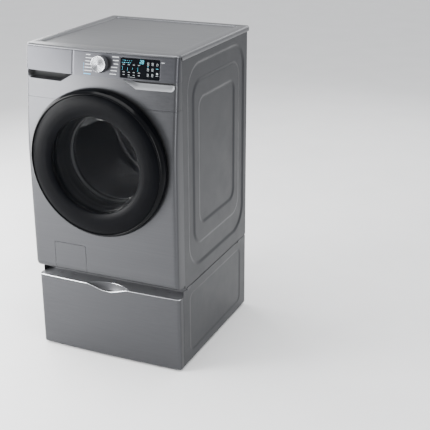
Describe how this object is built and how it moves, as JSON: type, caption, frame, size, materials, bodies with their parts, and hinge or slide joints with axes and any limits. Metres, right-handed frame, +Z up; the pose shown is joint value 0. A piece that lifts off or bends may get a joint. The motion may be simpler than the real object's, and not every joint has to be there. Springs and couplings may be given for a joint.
{
  "type": "front load washing machine",
  "caption": "Front-load washing machine in brushed platinum-grey steel with a large round black door, dial and display panel, on a matching drawer pedestal.",
  "frame": {"origin": "on the floor, in the middle of the footprint", "axes": "+Z up, front facing -Y, +X to the right seen from the front"},
  "size_m": [0.686, 0.8, 1.343],
  "materials": {
    "brushed_platinum": "satin",
    "painted_grey": "satin",
    "panel_grey": "satin",
    "dark_grey_plastic": "matte",
    "dark_ledge": "matte",
    "gloss_black": "gloss",
    "display_black": "gloss",
    "tinted_cover": "gloss",
    "clear_glass": "gloss",
    "dial_metal": "polished",
    "stainless": "satin",
    "zinc_steel": "satin",
    "cast_aluminium": "satin",
    "grey_rubber": "matte",
    "tub_plastic": "matte",
    "white_plastic": "satin",
    "cast_weight": "matte",
    "stator_windings": "satin"
  },
  "bodies": {
    "cabinet": {"base_frame": "zinc_steel", "control_board_case": "white_plastic", "control_panel": "panel_grey", "damper_left": "dark_grey_plastic", "damper_right": "dark_grey_plastic", "detergent_housing": "white_plastic", "display_glass": "display_black", "door_gasket": "grey_rubber", "door_hinge_bracket": "zinc_steel", "door_lock": "dark_grey_plastic", "drain_pump": "tub_plastic", "front_panel_lower": "brushed_platinum", "front_panel_upper": "brushed_platinum", "inlet_valve": "white_plastic", "lid": "brushed_platinum", "pedestal_cabinet": "painted_grey", "pedestal_runner_left": "zinc_steel", "pedestal_runner_right": "zinc_steel", "pedestal_top": "dark_ledge", "power_inlet": "dark_grey_plastic", "rear_access_cover": "painted_grey", "rear_panel": "zinc_steel", "recess_strip": "dark_grey_plastic", "side_panel_left": "painted_grey", "side_panel_right": "painted_grey", "spring_left": "zinc_steel", "spring_right": "zinc_steel", "sump_hose": "grey_rubber"},
    "tub": {"tub_front": "tub_plastic", "tub_rear": "tub_plastic", "counterweight_upper": "cast_weight", "counterweight_lower": "cast_weight", "motor_stator": "stator_windings", "drum_bearing": "cast_weight", "damper_rod_left": "zinc_steel", "damper_rod_right": "zinc_steel"},
    "drum": {"drum_basket": "stainless", "drum_spider": "cast_aluminium", "drum_lifter_1": "white_plastic", "drum_lifter_2": "white_plastic", "drum_lifter_3": "white_plastic", "motor_rotor": "zinc_steel"},
    "door": {"door_ring": "gloss_black", "door_glass": "tinted_cover", "door_inner_frame": "dark_grey_plastic", "door_bowl": "clear_glass", "door_hook": "zinc_steel", "door_hinge_arm": "zinc_steel"},
    "detergent_drawer": {"detergent_drawer_front": "panel_grey", "detergent_tray": "white_plastic", "softener_cup": "tub_plastic"},
    "dial": {"dial": "dial_metal"},
    "filter_door": {"filter_door": "brushed_platinum"},
    "drain_filter": {"drain_filter": "white_plastic"},
    "pedestal_drawer": {"pedestal_drawer_front": "brushed_platinum", "pedestal_drawer_box": "zinc_steel"},
    "foot_front_left": {"pedestal_foot_front_left": "grey_rubber"},
    "foot_front_right": {"pedestal_foot_front_right": "grey_rubber"},
    "foot_rear_left": {"pedestal_foot_rear_left": "grey_rubber"},
    "foot_rear_right": {"pedestal_foot_rear_right": "grey_rubber"}
  },
  "joints": [
    {"name": "tub_suspension", "type": "slide", "parent": "cabinet", "child": "tub", "axis": [0, 0, 1], "range_m": [-0.012, 0.012], "stiffness_N_per_m": 16000, "springref_m": 0.03136, "deforming": ["spring_left", "spring_right", "door_gasket", "sump_hose"]},
    {"name": "drum_spin", "type": "hinge", "parent": "tub", "child": "drum", "pos_m": [0, 0, 0.89], "axis": [0, -1, 0], "continuous": true},
    {"name": "door_hinge", "type": "hinge", "parent": "cabinet", "child": "door", "pos_m": [-0.302, -0.368, 0.89], "axis": [0, 0, -1], "range_deg": [0, 120]},
    {"name": "detergent_drawer_slide", "type": "slide", "parent": "cabinet", "child": "detergent_drawer", "axis": [0, -1, 0], "range_m": [0, 0.2]},
    {"name": "dial_turn", "type": "hinge", "parent": "cabinet", "child": "dial", "pos_m": [0.017, -0.33621, 1.2917], "axis": [0, -0.988, 0.1545], "continuous": true},
    {"name": "filter_door_hinge", "type": "hinge", "parent": "cabinet", "child": "filter_door", "pos_m": [-0.1625, -0.3472, 0.3915], "axis": [1, 0, 0], "range_deg": [0, 90]},
    {"name": "drain_filter_turn", "type": "hinge", "parent": "cabinet", "child": "drain_filter", "pos_m": [-0.1625, -0.33, 0.452], "axis": [0, -1, 0], "range_deg": [0, 180]},
    {"name": "pedestal_drawer_slide", "type": "slide", "parent": "cabinet", "child": "pedestal_drawer", "axis": [0, -1, 0], "range_m": [0, 0.38]},
    {"name": "foot_front_left_turn", "type": "hinge", "parent": "cabinet", "child": "foot_front_left", "pos_m": [-0.3, -0.262, 0], "axis": [0, 0, 1], "continuous": true},
    {"name": "foot_front_right_turn", "type": "hinge", "parent": "cabinet", "child": "foot_front_right", "pos_m": [0.3, -0.262, 0], "axis": [0, 0, 1], "continuous": true},
    {"name": "foot_rear_left_turn", "type": "hinge", "parent": "cabinet", "child": "foot_rear_left", "pos_m": [-0.3, 0.335, 0], "axis": [0, 0, 1], "continuous": true},
    {"name": "foot_rear_right_turn", "type": "hinge", "parent": "cabinet", "child": "foot_rear_right", "pos_m": [0.3, 0.335, 0], "axis": [0, 0, 1], "continuous": true}
  ]
}
